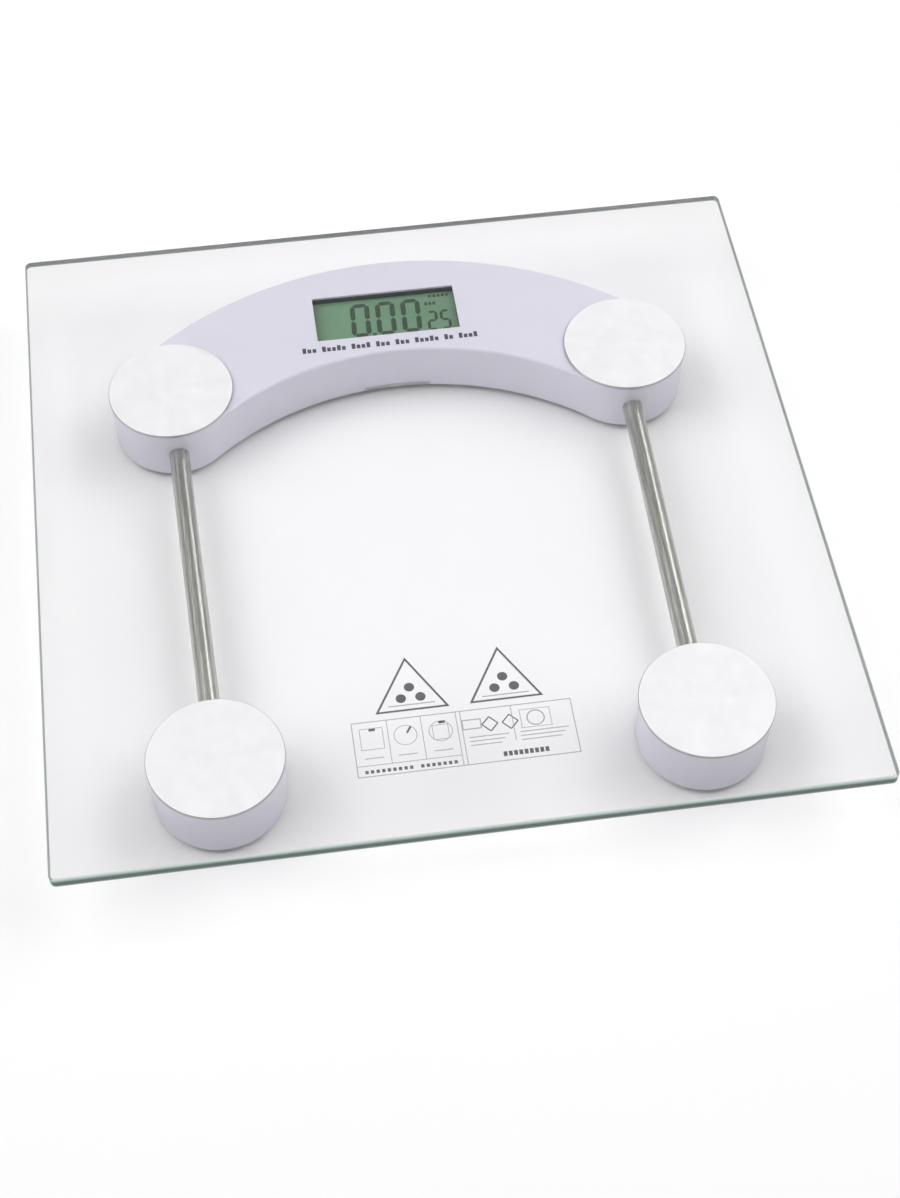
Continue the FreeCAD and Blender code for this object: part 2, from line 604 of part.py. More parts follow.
def lcd_frame():
    """The plastic frame between board and lens that holds the panel and both contact strips."""
    body = new_body("lcd_frame", ("window_x", "window_y", "board_top"))
    drawing = sketch(body)
    rectangles(drawing, [("0", "0")], "frame_width", "frame_depth")
    pad(body, drawing, "lens_low - board_top")
    seat = sketch(body, "lcd_low - board_top")
    rectangles(seat, [("0", "0")], "lcd_width + 2*frame_gap", "lcd_depth + 2*frame_gap")
    pocket(body, seat, "lens_low - lcd_low")
    well = sketch(body)
    rectangles(well, [("0", "0")], "window_width - 2*lcd_lap", "window_depth - 4*zebra_thick")
    pocket(body, well, "lcd_low - board_top")
    strips = sketch(body)
    rectangles(strips, ZEBRA_CENTRES, "window_width + frame_gap", "zebra_thick + frame_gap")
    pocket(body, strips, "lcd_low - board_top")


ZEBRA_CENTRES = [("0", side + "(lcd_depth/2 - zebra_thick/2 - lcd_lap/2)") for side in ("-", "")]


def zebra_strips():
    """Soft contact strips from the board up to the panel."""
    body = new_body("zebra_strips", ("window_x", "window_y", "board_top"))
    drawing = sketch(body)
    rectangles(drawing, ZEBRA_CENTRES, "window_width", "zebra_thick")
    pad(body, drawing, "lcd_low - board_top")


def main_circuit_board():
    body = new_body("main_circuit_board", ("0", "window_y", "board_low"))
    drawing = sketch(body)
    rectangles(drawing, [("0", "0")], "board_width", "board_depth")
    pad(body, drawing, "board_thick")
    dress(body, "Fillet", "board_corner", upright)
    holes = sketch(body)
    centres = [(x, y) for x in ("-board_post_x", "board_post_x") for y in ("-board_post_y", "board_post_y")]
    circles(holes, centres, "board_hole_rad")
    pocket(body, holes, "board_thick")


def controller_chip():
    """The controller below the board, on two rows of leads."""
    body = new_body("controller_chip", ("chip_x", "window_y", "board_low"))
    case = sketch(body, "-chip_lift")
    rectangles(case, [("0", "0")], "chip_width", "chip_depth")
    pad(body, case, "chip_tall", down=True)
    leads = sketch(body)
    rows = [(x, "lead_pitch*({} - {})".format(step, (LEADS_A_SIDE - 1) / 2))
            for x in ("-lead_x", "lead_x") for step in range(LEADS_A_SIDE)]
    rectangles(leads, rows, "lead_long", "lead_wide")
    pad(body, leads, "lead_tall", down=True)


def board_components():
    """Resistors, capacitors and the clock crystal, soldered below the board."""
    body = new_body("board_components", ("0", "window_y", "board_low"))
    chips = sketch(body)
    centres = [("smd_row_x + smd_row_pitch*{}".format(step), "smd_row_y") for step in range(4)]
    centres += [("smd_column_x", "smd_column_y + smd_column_pitch*{}".format(step)) for step in range(5)]
    rectangles(chips, centres, "smd_long", "smd_wide")
    pad(body, chips, "smd_tall", down=True)
    cans = sketch(body)
    circles(cans, [("rear_can_x", "rear_can_y"), ("side_x", "side_can_y")], "can_rad")
    pad(body, cans, "can_tall", down=True)
    crystal = sketch(body)
    rectangles(crystal, [("side_x", "crystal_y")], "crystal_wide", "crystal_long")
    pad(body, crystal, "crystal_tall", down=True)


def temperature_sensor():
    """A glass bead on two legs that reads the room's temperature."""
    body = new_body("temperature_sensor", ("chip_x", "window_y + smd_row_y", "board_low"))
    for side in ("-", ""):
        cylinder(body, "leg_rad", "leg_tall", (side + "leg_x", "0", "-leg_tall"))
    bead = body.newObject("PartDesign::AdditiveSphere", "Bead")
    bind(bead, Radius="bead_rad")
    place(bead, "0", "0", "-bead_drop")


def unit_switch():
    """The push switch on the board that the unit button works."""
    body = new_body("unit_switch", ("button_x", "button_y", "switch_low"))
    drawing = sketch(body)
    rectangles(drawing, [("0", "0")], "switch_width", "switch_width")
    pad(body, drawing, "switch_tall")
    room = "plunger_top + button_travel + plunger_gap - switch_low"
    cylinder(body, "plunger_rad + plunger_gap", room, ("0", "0", "0"), cut=True)


def switch_plunger():
    body = new_body("switch_plunger", ("button_x", "button_y", "button_top"))
    cylinder(body, "plunger_rad", "plunger_top - button_top", ("0", "0", "0"))


def unit_button():
    """A round button in the bottom cover, kept in by its flange."""
    body = new_body("unit_button", ("button_x", "button_y", "0"))
    cylinder(body, "button_rad", "flange_low - shell_low", ("0", "0", "shell_low + button_sink"))
    cylinder(body, "flange_rad", "flange_thick", ("0", "0", "flange_low"))
    cylinder(body, "stem_rad", "button_top - flange_low", ("0", "0", "flange_low"))
    face = value("shell_low + button_sink")
    dress(body, "Fillet", "button_round", lambda edge: abs(edge.BoundBox.ZMax - face) < 1e-6)


def load_cell(name, x, y, turn):
    """A steel plate whose middle tongue bends when the foot presses it."""
    body = new_body("load_cell_" + name, (x, y, "cell_seat"), turn)
    drawing = sketch(body)
    rectangles(drawing, [("0", "0")], "cell_width", "cell_width")
    pad(body, drawing, "cell_thick")
    dress(body, "Fillet", "cell_corner", upright)
    slot = sketch(body)
    outer, half = "(tongue_half + slot_width)", "cell_slot_half"
    polygon(slot, [("-" + outer, "-" + half), ("-" + outer, half), (outer, half), (outer, "-" + half),
                   ("tongue_half", "-" + half), ("tongue_half", half + " - slot_width"),
                   ("-tongue_half", half + " - slot_width"), ("-tongue_half", "-" + half)])
    pocket(body, slot, "cell_thick")


def strain_gauge_coats():
    """White sealant over the gauge on each tongue."""
    body = new_body("strain_gauge_coats", ("0", "0", "cell_top"))
    drawing = sketch(body)
    rectangles(drawing, POD_CENTRES, "coat_width", "coat_depth")
    pad(body, drawing, "coat_tall")


def load_cell_carrier(name, x, y, turn):
    """The ring that closes a pod, with the cell's seat above and the foot's recess below."""
    body = new_body("load_cell_carrier_" + name, (x, y, "0"), turn)
    cylinder(body, "carrier_rad", "cell_top - shell_low", ("0", "0", "shell_low"))
    box(body, ("cell_width + 2*gap", "cell_width + 2*gap", "cell_thick"), ("0", "0"), "cell_seat", cut=True)
    cylinder(body, "carrier_hole_rad", "cell_top", ("0", "0", "0"), cut=True)
    cylinder(body, "foot_rad + foot_gap", "carrier_ledge - shell_low", ("0", "0", "shell_low"), cut=True)
    for side in ("-", ""):
        across = side + "carrier_post_x"
        cylinder(body, "screw_rad + gap", "shell_tall", (across, "0", "0"), cut=True)
        cylinder(body, "screw_head_rad + gap", "screw_head_tall + head_sink", (across, "0", "shell_low"),
                 cut=True)


def foot_disc(name, x, y, turn):
    """The plastic disc that presses the cell's tongue, with a recess below for the rubber pad."""
    body = new_body("foot_disc_" + name, (x, y, "0"), turn)
    cylinder(body, "foot_rad", "foot_flange_top - foot_low", ("0", "0", "foot_low"))
    dress(body, "Chamfer", "foot_edge", lambda edge: edge.BoundBox.ZLength < 1e-6)
    cylinder(body, "foot_boss_rad", "foot_boss_top - foot_flange_top", ("0", "0", "foot_flange_top"))
    cylinder(body, "pad_rad + gap", "pad_thick - foot_low", ("0", "0", "foot_low"), cut=True)


def foot_pad(name, x, y, turn):
    """The rubber pad with two grip grooves."""
    body = new_body("foot_pad_" + name, (x, y, "0"), turn)
    cylinder(body, "pad_rad", "pad_thick", ("0", "0", "0"))
    for share in ("inner_groove_share", "outer_groove_share"):
        ring = sketch(body)
        circles(ring, [("0", "0")], "pad_rad*" + share)
        circles(ring, [("0", "0")], "pad_rad*{} - groove_wide".format(share))
        pocket(body, ring, "groove_deep")


def connecting_tube(side):
    """A bright steel tube from the front pod to the rear pod, with the wires inside."""
    x, y, lean = PODS["front_" + side]
    body = new_body("connecting_tube_" + side, (x, y, "tube_high"), lean)
    cylinder(body, "tube_rad", "tube_length", ("0", "tube_start", "0"), roll="-90")
    cylinder(body, "tube_rad - tube_wall", "tube_length", ("0", "tube_start", "0"), cut=True, roll="-90")


def wire_route(points, share=0.45):
    """Straight runs joined by tangent arcs, each as large as its two runs allow."""
    edges = []
    start = points[0]
    for before, corner, after in zip(points, points[1:], points[2:]):
        back, ahead = before - corner, after - corner
        turn = math.pi - back.getAngle(ahead)
        cut = share * min(back.Length, ahead.Length)
        back.normalize()
        ahead.normalize()
        radius = cut / math.tan(turn / 2)
        first, last = corner + back * cut, corner + ahead * cut
        to_centre = (back + ahead).normalize()
        middle = corner + to_centre * (radius / math.cos(turn / 2) - radius)
        edges.append(Part.LineSegment(start, first).toShape())
        edges.append(Part.Arc(first, middle, last).toShape())
        start = last
    edges.append(Part.LineSegment(start, points[-1]).toShape())
    return Part.Wire(edges)


def sensor_wires(name):
    """One load cell's three thin wires in their sleeve, from the gauge to the board."""
    x, y, turn = [value(text) for text in PODS[name]]
    side = -1 if "left" in name else 1
    rear_x, rear_y = side * value("rear_pod_x"), value("rear_pod_y")
    high, board = value("tube_high"), value("board_top + wire_rad")
    board_x, board_y = side * value("board_width/2 - wire_end_x"), value("window_y")
    points = [FreeCAD.Vector(x, y, value("coat_top"))]
    if name.startswith("front"):
        along = FreeCAD.Vector(rear_x - x, rear_y - y, 0).normalize()
        rear_centre = FreeCAD.Vector(rear_x, rear_y, high)
        inner_x, inner_y = rear_x - side * value("front_wire_x"), rear_y + value("front_wire_y")
        climb_x, climb_y = board_x + side * value("front_climb_x"), board_y + value("front_climb_y")
        points += [FreeCAD.Vector(x, y, high),
                   rear_centre - along * value("front_bend_y"),
                   FreeCAD.Vector(inner_x, inner_y, high),
                   FreeCAD.Vector(climb_x, climb_y, board),
                   FreeCAD.Vector(board_x, board_y + value("front_end_y"), board)]
    else:
        raised = high + value("rear_wire_lift")
        inner_x, inner_y = rear_x - side * value("rear_wire_x"), rear_y + value("rear_wire_y")
        climb_x, end_y = board_x + side * value("rear_climb_x"), board_y + value("rear_end_y")
        points += [FreeCAD.Vector(x, y, raised),
                   FreeCAD.Vector(inner_x, inner_y, raised),
                   FreeCAD.Vector(climb_x, end_y, board + value("rear_climb_lift")),
                   FreeCAD.Vector(board_x, end_y, board)]
    route = wire_route(points)
    section = Part.Wire(Part.Circle(points[0], FreeCAD.Vector(0, 0, 1), value("wire_rad")).toShape())
    sleeve = route.makePipeShell([section], True, True)
    expected = math.pi * value("wire_rad") ** 2 * route.Length
    if abs(sleeve.Volume - expected) > 0.02 * expected:
        raise ValueError("the wires of {} are not a clean tube".format(name))
    feature = doc.addObject("Part::Feature", "sensor_wires_" + name)
    feature.Label = "sensor_wires_" + name
    feature.Shape = sleeve
    feature.Placement = FreeCAD.Placement()
    NODES.append(feature)


def check_and_write():
    """Check every feature and every sub-part, then write one file for each sub-part."""
    doc.recompute()
    faults = []
    for thing in doc.Objects:
        if "Invalid" in thing.State or "Error" in thing.State:
            faults.append("{} of {} failed".format(thing.Name, thing.getParentGeoFeatureGroup()))
        if thing.TypeId == "PartDesign::Pocket" and thing.BaseFeature:
            if thing.Shape.Volume >= thing.BaseFeature.Shape.Volume - 1e-6:
                faults.append(thing.Name + " cuts nothing")
    for node in NODES:
        if node.Shape.isNull() or not node.Shape.isValid() or not node.Shape.Solids:
            faults.append(node.Label + " has no valid shape")
    if faults:
        raise ValueError("; ".join(faults))
    for node in NODES:
        node.Shape.exportStep("parts/{}.step".format(node.Label))


fill_sheet()
glass_platform()
adhesive_discs()
for pod_name, pod_place in PODS.items():
    cap_disc(pod_name, *pod_place)
    load_cell(pod_name, *pod_place)
    load_cell_carrier(pod_name, *pod_place)
    foot_disc(pod_name, *pod_place)
    foot_pad(pod_name, *pod_place)
    sensor_wires(pod_name)
strain_gauge_coats()
platform_screws()
for pod_name in ("front_left", "front_right"):
    front_pod_shell(pod_name)
arch_housing()
arch_bottom_cover()
for tube_side in ("left", "right"):
    connecting_tube(tube_side)
battery_door()
coin_cell()
battery_contact_negative()
battery_contact_positive()
display_window()
lcd_panel()
lcd_frame()
zebra_strips()
main_circuit_board()
controller_chip()
board_components()
temperature_sensor()
unit_switch()
switch_plunger()
unit_button()
small_screws("carrier_screws", CARRIER_POSTS, "shell_low + screw_head_tall + head_sink", "long_screw")
small_screws("cover_screws", COVER_POSTS, "shell_low + screw_head_tall", "long_screw")
small_screws("board_screws", BOARD_POSTS, "board_low", "short_screw")
check_and_write()
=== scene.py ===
import json
import math

import bmesh
import bpy
from mathutils import Matrix, Vector


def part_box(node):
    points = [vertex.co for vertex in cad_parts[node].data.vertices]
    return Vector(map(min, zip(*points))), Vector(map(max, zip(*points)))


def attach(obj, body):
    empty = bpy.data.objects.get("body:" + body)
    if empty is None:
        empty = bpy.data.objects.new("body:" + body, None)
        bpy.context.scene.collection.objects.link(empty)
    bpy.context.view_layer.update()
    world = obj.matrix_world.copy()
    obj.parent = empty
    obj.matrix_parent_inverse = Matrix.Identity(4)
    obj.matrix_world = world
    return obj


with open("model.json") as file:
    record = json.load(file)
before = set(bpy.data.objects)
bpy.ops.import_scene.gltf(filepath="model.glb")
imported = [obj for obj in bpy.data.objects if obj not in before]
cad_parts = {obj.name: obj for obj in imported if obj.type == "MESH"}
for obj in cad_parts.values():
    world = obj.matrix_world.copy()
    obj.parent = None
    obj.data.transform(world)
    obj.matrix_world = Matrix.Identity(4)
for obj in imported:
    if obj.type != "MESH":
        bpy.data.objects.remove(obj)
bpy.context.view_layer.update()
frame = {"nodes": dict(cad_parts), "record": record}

NODES = frame["nodes"]
BASE_BODY = "platform"
MM = 0.001

GLASS_LOW, GLASS_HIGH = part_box("glass_platform")
LENS_LOW, LENS_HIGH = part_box("display_window")
ARCH_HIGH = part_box("arch_housing")[1]
LCD_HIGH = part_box("lcd_panel")[1]


# ---------------------------------------------------------------- materials

NOISE_LOW = 0.3             # most of a noise's values lie between these two
NOISE_HIGH = 0.7
WAVE_PITCH = 0.314          # the pitch, in metres, of a wave texture whose scale is 1
LEVEL_SLOPE = 0.93          # how far up a face's normal points before the face counts as level


class Shader:
    """A material with one Principled shader and helpers for what drives it."""

    def __init__(self, name, colour, roughness, metallic=0.0, **sockets):
        self.material = bpy.data.materials.new(name)
        self.material.use_nodes = True
        self.tree = self.material.node_tree
        self.tree.nodes.clear()
        self.out = self.tree.nodes.new("ShaderNodeOutputMaterial")
        self.bsdf = self.tree.nodes.new("ShaderNodeBsdfPrincipled")
        self.link(self.bsdf.outputs[0], self.out.inputs["Surface"])
        self.bsdf.inputs["Base Color"].default_value = (*colour, 1)
        self.bsdf.inputs["Roughness"].default_value = roughness
        self.bsdf.inputs["Metallic"].default_value = metallic
        for socket, setting in sockets.items():
            self.bsdf.inputs[socket.replace("_", " ")].default_value = setting
        self.place = self.tree.nodes.new("ShaderNodeTexCoord").outputs["Object"]
        self.bumps = None

    def link(self, start, end):
        self.tree.links.new(start, end)

    def stretched(self, x, y, z):
        """The place on the object, stretched along each axis."""
        node = self.tree.nodes.new("ShaderNodeMapping")
        node.inputs["Scale"].default_value = (x, y, z)
        self.link(self.place, node.inputs["Vector"])
        return node.outputs[0]

    def noise(self, size, detail=3.0, vector=None):
        """Noise with features of about that size, in metres."""
        node = self.tree.nodes.new("ShaderNodeTexNoise")
        node.inputs["Scale"].default_value = 1 / size
        node.inputs["Detail"].default_value = detail
        self.link(vector or self.place, node.inputs["Vector"])
        return node.outputs["Fac"]

    def spread(self, source, low, high):
        """Map the middle of a noise onto a range of values."""
        node = self.tree.nodes.new("ShaderNodeMapRange")
        node.inputs["From Min"].default_value = NOISE_LOW
        node.inputs["From Max"].default_value = NOISE_HIGH
        node.inputs["To Min"].default_value = low
        node.inputs["To Max"].default_value = high
        self.link(source, node.inputs["Value"])
        return node.outputs[0]

    def tint(self, source, first, second):
        """Colour the surface between two colours by a noise."""
        node = self.tree.nodes.new("ShaderNodeMix")
        node.data_type = "RGBA"
        node.inputs["A"].default_value = (*first, 1)
        node.inputs["B"].default_value = (*second, 1)
        self.link(self.spread(source, 0, 1), node.inputs["Factor"])
        self.link(node.outputs["Result"], self.bsdf.inputs["Base Color"])
        return self

    def rough(self, source, low, high):
        """Vary the roughness between two values by a noise."""
        self.link(self.spread(source, low, high), self.bsdf.inputs["Roughness"])
        return self

    def bump(self, source, depth, strength=0.5):
        """Raise the surface by a noise, to that depth in metres."""
        node = self.tree.nodes.new("ShaderNodeBump")
        node.inputs["Strength"].default_value = strength
        node.inputs["Distance"].default_value = depth
        self.link(source, node.inputs["Height"])
        if self.bumps:
            self.link(self.bumps, node.inputs["Normal"])
        self.bumps = node.outputs[0]
        self.link(self.bumps, self.bsdf.inputs["Normal"])
        return self

    def bands(self, size, direction="X"):
        """Stripes of that pitch, in metres."""
        node = self.tree.nodes.new("ShaderNodeTexWave")
        node.bands_direction = direction
        node.inputs["Scale"].default_value = WAVE_PITCH / size
        self.link(self.place, node.inputs["Vector"])
        return node.outputs["Fac"]

    def maths(self, operation, first, second=0.0):
        """One sum on two values, each a socket or a number."""
        node = self.tree.nodes.new("ShaderNodeMath")
        node.operation = operation
        for socket, feed in zip(node.inputs, (first, second)):
            if isinstance(feed, (int, float)):
                socket.default_value = feed
            else:
                self.link(feed, socket)
        return node.outputs[0]

    def parts(self, vector):
        """The x, y and z of a vector."""
        node = self.tree.nodes.new("ShaderNodeSeparateXYZ")
        self.link(vector, node.inputs[0])
        return node.outputs

    def inside(self, low, high):
        """1 within a box given by two corners, and 0 outside it."""
        mask = 1.0
        for axis, place in enumerate(self.parts(self.place)):
            middle = (low[axis] + high[axis]) / 2
            away = self.maths("ABSOLUTE", self.maths("SUBTRACT", place, middle))
            near = self.maths("LESS_THAN", away, (high[axis] - low[axis]) / 2)
            mask = self.maths("MULTIPLY", near, mask)
        return mask

    def on_edges(self):
        """1 on faces that aren't level, such as a plate's edges, and 0 on level ones."""
        facing = self.tree.nodes.new("ShaderNodeNewGeometry").outputs["True Normal"]
        upwards = self.maths("ABSOLUTE", self.parts(facing)[2])
        return self.maths("LESS_THAN", upwards, LEVEL_SLOPE)

    def blend(self, mask, first, second):
        """Colour that goes from first to second with the mask; each is a socket or a colour."""
        node = self.tree.nodes.new("ShaderNodeMix")
        node.data_type = "RGBA"
        self.link(mask, node.inputs["Factor"])
        for name, feed in (("A", first), ("B", second)):
            if isinstance(feed, tuple):
                node.inputs[name].default_value = (*feed, 1)
            else:
                self.link(feed, node.inputs[name])
        return node.outputs["Result"]

    def now(self, socket):
        """What drives a socket now."""
        return self.bsdf.inputs[socket].links[0].from_socket

    def clear_to_lamps(self, share):
        """Let that share of the light from lamps straight through; the rest arrives by refraction."""
        clear = self.tree.nodes.new("ShaderNodeBsdfTransparent")
        mix = self.tree.nodes.new("ShaderNodeMixShader")
        path = self.tree.nodes.new("ShaderNodeLightPath")
        self.link(path.outputs["Is Shadow Ray"], mix.inputs[0])
        self.link(self.bsdf.outputs[0], mix.inputs[1])
        self.link(clear.outputs[0], mix.inputs[2])
        self.link(mix.outputs[0], self.out.inputs["Surface"])
        clear.inputs["Color"].default_value = (share, share, share, 1)
        return self


FACE_TINT = (0.918, 0.916, 0.928)
# the back and side edges' grey is painted shade
SIDE_SHADE_GREY = (0.36, 0.39, 0.38)
# the front edge's colours, from its lower side at 0 to its upper side at 1: the glass's own green, with
# painted shade through its lower middle and a painted highlight towards its upper side
EDGE_GREENS_AND_LIGHT = ((0.0, (0.42, 0.50, 0.47)), (0.12, (0.36, 0.45, 0.41)), (0.3, (0.07, 0.115, 0.10)),
               (0.62, (0.10, 0.16, 0.14)), (0.82, (0.48, 0.62, 0.57)), (1.0, (0.80, 0.90, 0.86)))
FRONT_BAND = 0.6 * MM       # how far back the front edge's green, painted shade and painted highlight reach
GLASS_SHARE = 0.67          # of the lamps' light that goes straight through
LENS_SHARE = 0.9


def platform_glass():
    """Clear float glass with ground edges: green with painted shade and a painted highlight at the front,
    and a grey of painted shade elsewhere.
    """
    glass = Shader("platform_glass", FACE_TINT, 0.0, IOR=1.5)
    edge = glass.on_edges()
    height = glass.tree.nodes.new("ShaderNodeMapRange")
    height.inputs["From Min"].default_value = GLASS_LOW.z
    height.inputs["From Max"].default_value = GLASS_HIGH.z
    glass.link(glass.parts(glass.place)[2], height.inputs["Value"])
    ramp = glass.tree.nodes.new("ShaderNodeValToRGB")
    glass.link(height.outputs[0], ramp.inputs[0])
    stops = ramp.color_ramp.elements
    while len(stops) < len(EDGE_GREENS_AND_LIGHT):
        stops.new(0.5)
    for stop, (spot, colour) in zip(stops, EDGE_GREENS_AND_LIGHT):
        stop.position = spot
        stop.color = (*colour, 1)
    # the front edge takes the green ramp with its painted shade and highlight; the other edges take the grey
    # of painted shade
    front = glass.maths("LESS_THAN", glass.parts(glass.place)[1], GLASS_LOW.y + FRONT_BAND)
    green = glass.blend(front, SIDE_SHADE_GREY, ramp.outputs["Color"])
    glass.link(glass.blend(edge, FACE_TINT, green), glass.bsdf.inputs["Base Color"])
    glass.link(glass.maths("SUBTRACT", 1.0, edge), glass.bsdf.inputs["Transmission Weight"])
    smear = glass.spread(glass.noise(60 * MM, 4), 0.0, 0.01)
    ground = glass.spread(glass.noise(1.5 * MM), 0.12, 0.25)
    roughness = glass.maths("ADD", smear, glass.maths("MULTIPLY", edge, ground))
    glass.link(roughness, glass.bsdf.inputs["Roughness"])
    return glass.clear_to_lamps(GLASS_SHARE)


def clear_lens():
    """The clear acrylic window over the display."""
    glass = Shader("lens_clear", (0.95, 0.98, 0.96), 0.02, Transmission_Weight=1.0, IOR=1.49)
    glass.rough(glass.noise(8 * MM), 0.01, 0.04)
    return glass.clear_to_lamps(LENS_SHARE)


def glue():
    """A cured clear film: all but invisible, with the faintest gloss and cloud."""
    film = Shader("adhesive_clear", (0.9, 0.9, 0.92), 0.3)
    film.rough(film.noise(3 * MM), 0.2, 0.4)
    clear = film.tree.nodes.new("ShaderNodeBsdfTransparent")
    clear.inputs["Color"].default_value = (0.985, 0.985, 0.985, 1)
    mix = film.tree.nodes.new("ShaderNodeMixShader")
    film.link(film.spread(film.noise(6 * MM), 0.02, 0.05), mix.inputs[0])
    film.link(clear.outputs[0], mix.inputs[1])
    film.link(film.bsdf.outputs[0], mix.inputs[2])
    film.link(mix.outputs[0], film.out.inputs["Surface"])
    return film


DISC_METAL = 0.12           # how metallic the satin face is; the edge faces are wholly so
BRUSH_RUN = 1.2 * MM        # how the noise runs on per radian: fine lines, then broad fans of painted sheen
SHEEN_FAN_RUN = 6 * MM
SHEEN_FAN_SQUEEZE = 0.05          # the fans hardly change from the centre outwards


def satin_disc(name):
    """Aluminium brushed in circles round its own centre, with broad fans of painted sheen, and wholly
    metallic edge faces painted darker as painted shade for the shadow line under the rim.
    """
    low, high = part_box(name)
    disc = Shader("satin_" + name, (0.93, 0.93, 0.935), 0.42)
    from_centre = disc.tree.nodes.new("ShaderNodeVectorMath")
    from_centre.operation = "SUBTRACT"
    from_centre.inputs[1].default_value = (low + high) / 2
    disc.link(disc.place, from_centre.inputs[0])
    across, along, _ = disc.parts(from_centre.outputs[0])
    reach = disc.maths("SQRT", disc.maths("ADD", disc.maths("MULTIPLY", across, across),
                                          disc.maths("MULTIPLY", along, along)))
    turn = disc.maths("ARCTAN2", along, across)
    polar = disc.tree.nodes.new("ShaderNodeCombineXYZ")
    disc.link(reach, polar.inputs[0])
    disc.link(disc.maths("MULTIPLY", turn, BRUSH_RUN), polar.inputs[1])
    brush = disc.noise(0.35 * MM, 3, polar.outputs[0])
    sheen_fan = disc.tree.nodes.new("ShaderNodeCombineXYZ")
    disc.link(disc.maths("MULTIPLY", reach, SHEEN_FAN_SQUEEZE), sheen_fan.inputs[0])
    disc.link(disc.maths("MULTIPLY", turn, SHEEN_FAN_RUN), sheen_fan.inputs[1])
    painted_sheen = disc.noise(3 * MM, 2, sheen_fan.outputs[0])
    edge = disc.on_edges()
    # broad fans of lighter and darker colour: painted sheen of brushed metal
    disc.tint(painted_sheen, (0.93, 0.93, 0.935), (0.975, 0.975, 0.975))
    # the edge faces are painted darker: painted shade for the shadow line under the disc's rim
    rim_shade = disc.blend(edge, disc.now("Base Color"), (0.5, 0.5, 0.51))
    disc.link(rim_shade, disc.bsdf.inputs["Base Color"])
    metallic = disc.maths("ADD", DISC_METAL, disc.maths("MULTIPLY", edge, 1 - DISC_METAL))
    disc.link(metallic, disc.bsdf.inputs["Metallic"])
    disc.rough(brush, 0.36, 0.52)
    return disc.bump(brush, 0.01 * MM, 0.3)


SHADE_UNDERLAP = 0.1 * MM    # the painted shade in the display's recess starts this far below the lens's top
SHADE_DROP = 0.9 * MM        # and ends this far below the arch's top


def silver_paint():
    """Silver lacquer on plastic: fine flake, a soft orange peel, and painted shade on the walls of the
    display's recess.
    """
    paint = Shader("silver_paint", (0.66, 0.65, 0.71), 0.42, 0.08, Coat_Weight=0.2, Coat_Roughness=0.25)
    paint.tint(paint.noise(0.12 * MM, 2), (0.655, 0.645, 0.725), (0.735, 0.725, 0.81))
    low = (LENS_LOW.x, LENS_LOW.y, LENS_HIGH.z - SHADE_UNDERLAP)
    high = (LENS_HIGH.x, LENS_HIGH.y, ARCH_HIGH.z - SHADE_DROP)
    # the recess walls round the display are painted dark: painted shade where the recess lies in shadow,
    # with a lit strip left at the top
    painted_recess_shade = paint.blend(paint.inside(low, high), paint.now("Base Color"), (0.035, 0.055, 0.045))
    paint.link(painted_recess_shade, paint.bsdf.inputs["Base Color"])
    paint.rough(paint.noise(0.6 * MM), 0.38, 0.5)
    return paint.bump(paint.noise(0.9 * MM, 2), 0.01 * MM, 0.2)


def moulded(name, low, high, roughness=0.55, grain=0.35):
    """Spark-eroded moulded plastic."""
    plastic = Shader(name, low, roughness)
    plastic.tint(plastic.noise(14 * MM, 3), low, high)
    plastic.rough(plastic.noise(grain * MM), roughness - 0.08, roughness + 0.08)
    return plastic.bump(plastic.noise(grain * MM, 2), 0.03 * MM, 0.35)


def pad_rubber():
    """Dull black rubber with a fine grain."""
    rubber = Shader("pad_rubber", (0.03, 0.03, 0.032), 0.8)
    rubber.tint(rubber.noise(5 * MM), (0.022, 0.022, 0.024), (0.05, 0.05, 0.052))
    rubber.rough(rubber.noise(0.8 * MM), 0.7, 0.92)
    return rubber.bump(rubber.noise(0.4 * MM, 4), 0.05 * MM, 0.5)


def tube_steel():
    """Bright drawn steel, with faint lines along the tube."""
    steel = Shader("tube_steel", (0.5, 0.5, 0.47), 0.2, 1.0)
    lines = steel.noise(0.5 * MM, 3, steel.stretched(1, 0.02, 1))
    steel.tint(lines, (0.40, 0.40, 0.365), (0.60, 0.60, 0.56))
    steel.rough(lines, 0.27, 0.36)
    return steel.bump(lines, 0.01 * MM, 0.2)


def plated(name, low, high, rough_low=0.25, rough_high=0.45):
    """Plated sheet metal or screws, slightly clouded."""
    metal = Shader(name, low, rough_low, 1.0)
    metal.tint(metal.noise(2.5 * MM), low, high)
    metal.rough(metal.noise(1.1 * MM), rough_low, rough_high)
    return metal.bump(metal.noise(0.2 * MM), 0.008 * MM, 0.3)


def lcd_ground():
    """The reflective green-grey ground of a liquid-crystal panel."""
    ground = Shader("lcd_ground", (0.16, 0.25, 0.17), 0.35)
    ground.tint(ground.noise(26 * MM, 2), (0.145, 0.30, 0.175), (0.185, 0.36, 0.215))
    ground.rough(ground.noise(0.3 * MM), 0.3, 0.45)
    return ground.bump(ground.noise(0.12 * MM), 0.004 * MM, 0.2)


def lcd_segment():
    """The dark figures of a liquid-crystal panel."""
    ink = Shader("lcd_segment", (0.02, 0.055, 0.02), 0.4)
    ink.tint(ink.noise(1.5 * MM), (0.002, 0.03, 0.004), (0.006, 0.05, 0.008))
    return ink


def printed_ink(name, low, high):
    """Screen-printed ink, with small gaps of density."""
    ink = Shader(name, low, 0.5)
    ink.tint(ink.noise(0.5 * MM, 4), low, high)
    ink.rough(ink.noise(0.3 * MM), 0.45, 0.65)
    return ink


